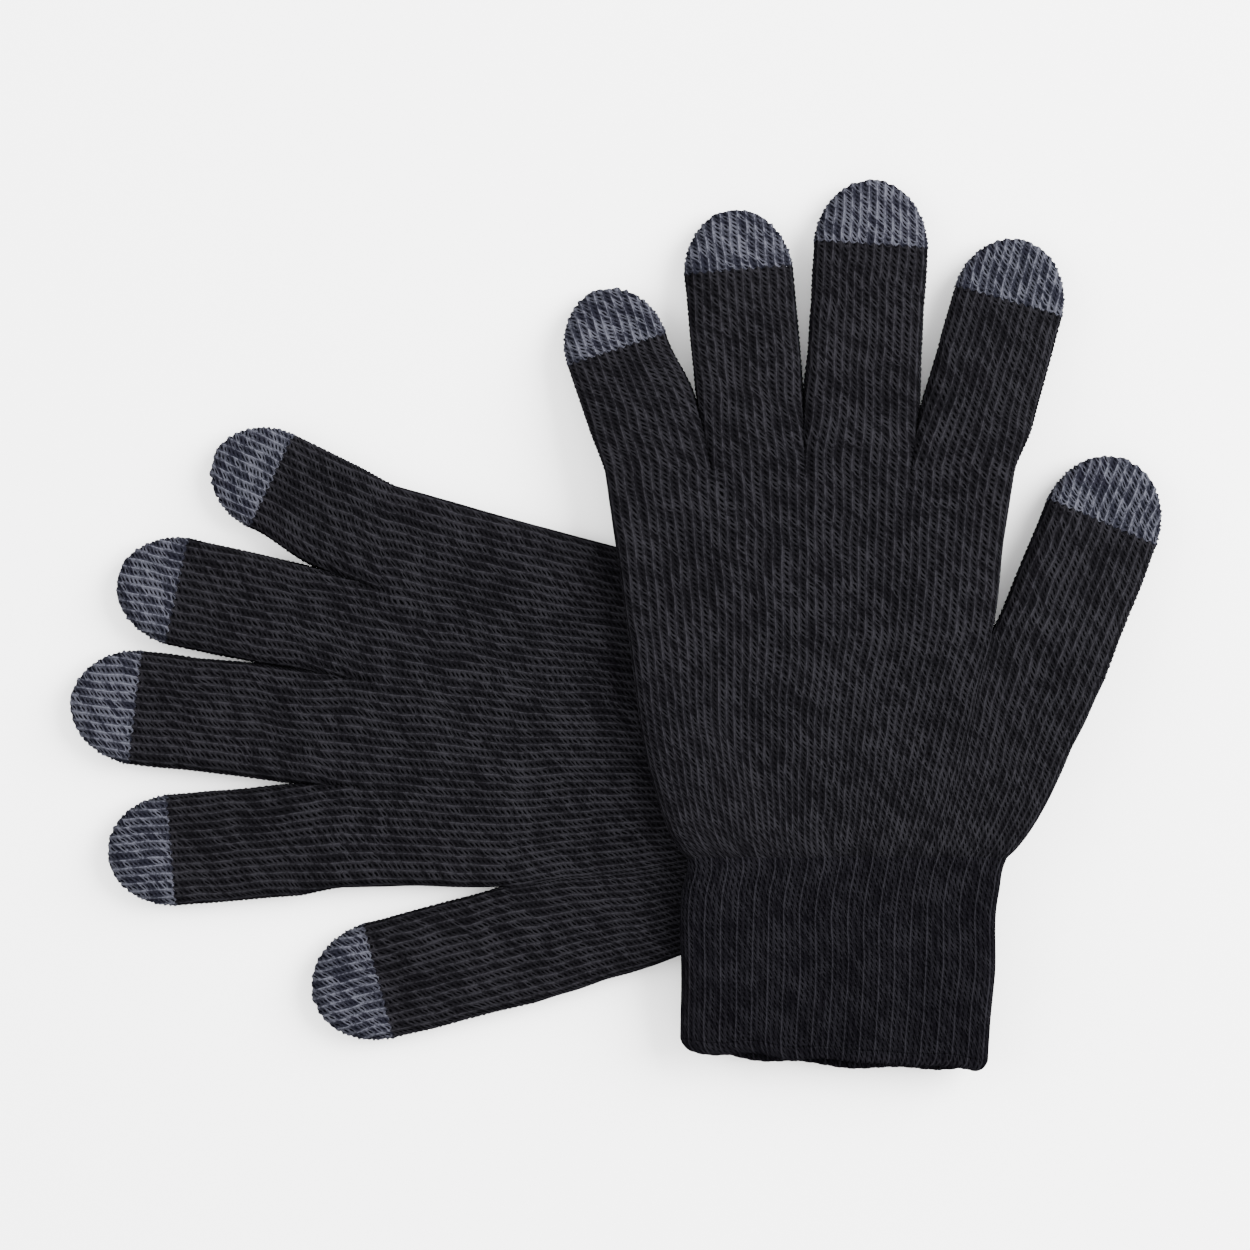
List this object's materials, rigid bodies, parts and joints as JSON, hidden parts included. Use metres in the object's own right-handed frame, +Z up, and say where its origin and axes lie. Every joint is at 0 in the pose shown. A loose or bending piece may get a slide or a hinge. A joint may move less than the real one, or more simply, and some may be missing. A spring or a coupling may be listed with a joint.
{
  "type": "touchscreen gloves",
  "caption": "Pair of dark knitted gloves with ribbed cuffs and marled touchscreen fingertips, one glove lying palm up across the other.",
  "frame": {"origin": "on the table surface, under the middle of the pair's bounding box", "axes": "+Z up from the table, +X the pair's longest side, towards the upper glove's thumb, +Y the way the upper glove's fingers point"},
  "size_m": [0.2602, 0.2088, 0.0173],
  "materials": {
    "dark_knit": "matte",
    "rib_knit": "matte",
    "hem_knit": "matte",
    "tip_knit": "matte",
    "elastic_thread": "matte"
  },
  "bodies": {
    "left_hand": {"left_hand": "dark_knit"},
    "left_cuff": {"left_cuff": "rib_knit", "left_cuff_hem": "hem_knit", "left_cuff_elastic": "elastic_thread"},
    "left_little": {"left_little_stall": "dark_knit", "left_little_tip": "tip_knit"},
    "left_ring": {"left_ring_stall": "dark_knit", "left_ring_tip": "tip_knit"},
    "left_middle": {"left_middle_stall": "dark_knit", "left_middle_tip": "tip_knit"},
    "left_index": {"left_index_stall": "dark_knit", "left_index_tip": "tip_knit"},
    "left_thumb": {"left_thumb_stall": "dark_knit", "left_thumb_tip": "tip_knit"},
    "right_hand": {"right_hand": "dark_knit"},
    "right_cuff": {"right_cuff": "rib_knit", "right_cuff_hem": "hem_knit", "right_cuff_elastic": "elastic_thread"},
    "right_little": {"right_little_stall": "dark_knit", "right_little_tip": "tip_knit"},
    "right_ring": {"right_ring_stall": "dark_knit", "right_ring_tip": "tip_knit"},
    "right_middle": {"right_middle_stall": "dark_knit", "right_middle_tip": "tip_knit"},
    "right_index": {"right_index_stall": "dark_knit", "right_index_tip": "tip_knit"},
    "right_thumb": {"right_thumb_stall": "dark_knit", "right_thumb_tip": "tip_knit"}
  },
  "joints": [
    {"name": "right_little_bend", "type": "hinge", "parent": "right_hand", "child": "right_little", "pos_m": [0.00936, 0.03512, 0.0173], "axis": [1, 0, 0], "range_deg": [0, 90]},
    {"name": "right_ring_bend", "type": "hinge", "parent": "right_hand", "child": "right_ring", "pos_m": [0.03289, 0.03512, 0.0173], "axis": [1, 0, 0], "range_deg": [0, 90]},
    {"name": "right_middle_bend", "type": "hinge", "parent": "right_hand", "child": "right_middle", "pos_m": [0.05664, 0.03512, 0.0173], "axis": [1, 0, 0], "range_deg": [0, 90]},
    {"name": "right_index_bend", "type": "hinge", "parent": "right_hand", "child": "right_index", "pos_m": [0.08141, 0.03512, 0.0173], "axis": [1, 0, 0], "range_deg": [0, 90]},
    {"name": "right_thumb_bend", "type": "hinge", "parent": "right_hand", "child": "right_thumb", "pos_m": [0.10236, -0.00835, 0.0173], "axis": [0.9278, -0.373, 0], "range_deg": [0, 90]},
    {"name": "right_wrist_fold", "type": "hinge", "parent": "right_hand", "child": "right_cuff", "pos_m": [0.05391, -0.05718, 0.0173], "axis": [-1, 0, 0], "range_deg": [0, 80]},
    {"name": "left_little_bend", "type": "hinge", "parent": "left_hand", "child": "left_little", "pos_m": [-0.05477, 0.01977, 0.0085], "axis": [0.1305, 0.9914, 0], "range_deg": [0, 90]},
    {"name": "left_ring_bend", "type": "hinge", "parent": "left_hand", "child": "left_ring", "pos_m": [-0.05784, -0.00355, 0.0085], "axis": [0.1305, 0.9914, 0], "range_deg": [0, 90]},
    {"name": "left_middle_bend", "type": "hinge", "parent": "left_hand", "child": "left_middle", "pos_m": [-0.06094, -0.0271, 0.0085], "axis": [0.1305, 0.9914, 0], "range_deg": [0, 90]},
    {"name": "left_index_bend", "type": "hinge", "parent": "left_hand", "child": "left_index", "pos_m": [-0.06417, -0.05166, 0.0085], "axis": [0.1305, 0.9914, 0], "range_deg": [0, 90]},
    {"name": "left_thumb_bend", "type": "hinge", "parent": "left_hand", "child": "left_thumb", "pos_m": [-0.02381, -0.07811, 0.0085], "axis": [-0.2487, 0.9686, 0], "range_deg": [0, 90]},
    {"name": "left_wrist_fold", "type": "hinge", "parent": "left_hand", "child": "left_cuff", "pos_m": [0.03093, -0.03644, 0], "axis": [0.1305, 0.9914, 0], "range_deg": [0, 75]},
    {"name": "right_glove_lift", "type": "slide", "parent": "left_hand", "child": "right_hand", "axis": [0, 0, 1], "range_m": [0, 0.12]}
  ]
}
